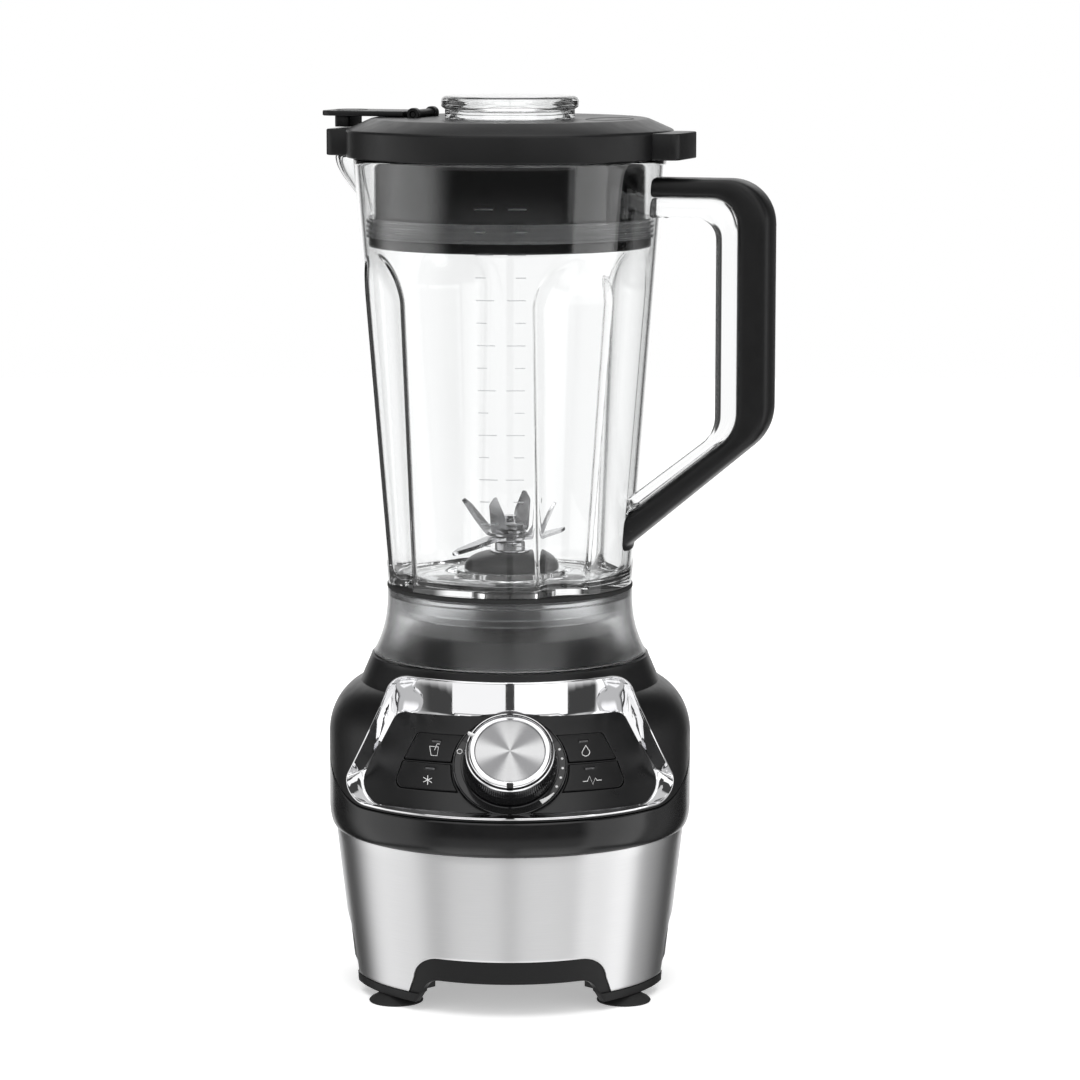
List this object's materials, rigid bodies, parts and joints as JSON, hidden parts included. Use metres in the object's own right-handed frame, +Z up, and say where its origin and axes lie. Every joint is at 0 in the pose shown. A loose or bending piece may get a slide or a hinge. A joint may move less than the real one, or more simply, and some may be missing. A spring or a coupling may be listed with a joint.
{
  "type": "countertop blender",
  "caption": "Countertop blender: steel-skirted motor base with a dial and push buttons, lift-off clear jug with handle, blades, lid, pour flap and cap.",
  "frame": {"origin": "point on the worktop under the axis that the motor, jug and lid share", "axes": "+Z up along that axis; the control face looks towards -Y; +X to the right as seen from the front"},
  "size_m": [0.226, 0.1831, 0.45],
  "materials": {
    "matte_black": "satin soft-touch",
    "gloss_black": "high gloss",
    "steel_brushed": "brushed round the body",
    "chrome": "mirror",
    "blade_steel": "ground",
    "rubber": "matte",
    "clear": "clear",
    "frosted": "frosted",
    "silicone": "translucent",
    "iron": "laminated",
    "copper": "enamelled wire",
    "brass": "plain",
    "board": "lacquered",
    "zinc": "plain"
  },
  "bodies": {
    "base": {"foot_front_left": "rubber", "foot_front_right": "rubber", "foot_rear_left": "rubber", "foot_rear_right": "rubber", "base_pan": "matte_black", "steel_skirt": "steel_brushed", "gloss_band": "gloss_black", "upper_housing": "matte_black", "bezel": "chrome", "control_panel": "gloss_black", "dial_plate": "matte_black", "light_pipes": "clear", "control_board": "board", "speed_switch": "iron", "jug_seat": "matte_black", "motor_stator": "iron", "field_coils": "copper", "motor_bracket_top": "zinc", "motor_bracket_bottom": "zinc", "motor_bearings": "zinc", "brush_holders": "brass", "carbon_brushes": "rubber", "motor_mounts": "rubber", "motor_screws": "zinc", "base_screws": "zinc", "cord_gland": "rubber", "interlock_switch": "matte_black"},
    "rotor": {"motor_shaft": "blade_steel", "armature": "iron", "commutator": "copper", "cooling_fan": "gloss_black", "drive_coupling": "rubber"},
    "knob": {"speed_knob": "gloss_black", "knob_ring": "chrome", "knob_cap": "steel_brushed"},
    "button_ul": {"button_upper_left": "matte_black"},
    "button_ll": {"button_lower_left": "matte_black"},
    "button_ur": {"button_upper_right": "matte_black"},
    "button_lr": {"button_lower_right": "matte_black"},
    "plunger": {"interlock_plunger": "silicone"},
    "jug": {"jug_vessel": "clear", "handle_grip": "matte_black", "jug_collar": "frosted", "jug_gasket": "rubber", "blade_hub": "matte_black", "blade_bush": "brass", "hub_nut": "zinc"},
    "blades": {"blade_shaft": "blade_steel", "blade_upper": "blade_steel", "blade_middle": "blade_steel", "blade_lower": "blade_steel", "blade_nut": "blade_steel", "driven_coupling": "gloss_black"},
    "lid": {"lid_cover": "matte_black", "lid_plug": "gloss_black", "lid_seal": "silicone", "plug_ring": "gloss_black"},
    "flap": {"pour_flap": "matte_black"},
    "cap": {"measuring_cap": "clear"}
  },
  "joints": [
    {"name": "jug_lift", "type": "slide", "parent": "base", "child": "jug", "axis": [0, 0, 1], "range_m": [0, 0.1]},
    {"name": "lid_lift", "type": "slide", "parent": "jug", "child": "lid", "axis": [0, 0, 1], "range_m": [0, 0.08]},
    {"name": "cap_lift", "type": "slide", "parent": "lid", "child": "cap", "axis": [0, 0, 1], "range_m": [0, 0.04]},
    {"name": "flap_hinge", "type": "hinge", "parent": "lid", "child": "flap", "pos_m": [-0.04349, 0.01498, 0.4406], "axis": [0.3256, 0.9455, 0], "range_deg": [0, 100]},
    {"name": "rotor_spin", "type": "hinge", "parent": "base", "child": "rotor", "pos_m": [0, 0, 0.09], "axis": [0, 0, 1], "continuous": true},
    {"name": "blade_spin", "type": "hinge", "parent": "jug", "child": "blades", "pos_m": [0, 0, 0.2], "axis": [0, 0, 1], "continuous": true},
    {"name": "knob_turn", "type": "hinge", "parent": "base", "child": "knob", "pos_m": [0, -0.06522, 0.12425], "axis": [0, -0.7547, 0.6561], "range_deg": [-193, 0]},
    {"name": "plunger_slide", "type": "slide", "parent": "base", "child": "plunger", "axis": [0, 0, 1], "range_m": [0, 0.003]},
    {"name": "press_upper_left", "type": "slide", "parent": "base", "child": "button_ul", "axis": [0, 0.7547, -0.6561], "range_m": [0, 0.0012], "stiffness_N_per_m": 400, "springref_m": -0.001},
    {"name": "press_lower_left", "type": "slide", "parent": "base", "child": "button_ll", "axis": [0, 0.7547, -0.6561], "range_m": [0, 0.0012], "stiffness_N_per_m": 400, "springref_m": -0.001},
    {"name": "press_upper_right", "type": "slide", "parent": "base", "child": "button_ur", "axis": [0, 0.7547, -0.6561], "range_m": [0, 0.0012], "stiffness_N_per_m": 400, "springref_m": -0.001},
    {"name": "press_lower_right", "type": "slide", "parent": "base", "child": "button_lr", "axis": [0, 0.7547, -0.6561], "range_m": [0, 0.0012], "stiffness_N_per_m": 400, "springref_m": -0.001}
  ],
  "couplings": [
    {"joint": "blade_spin", "follows": "rotor_spin", "ratio": 1},
    {"joint": "plunger_slide", "follows": "jug_lift", "ratio": 0.03}
  ]
}
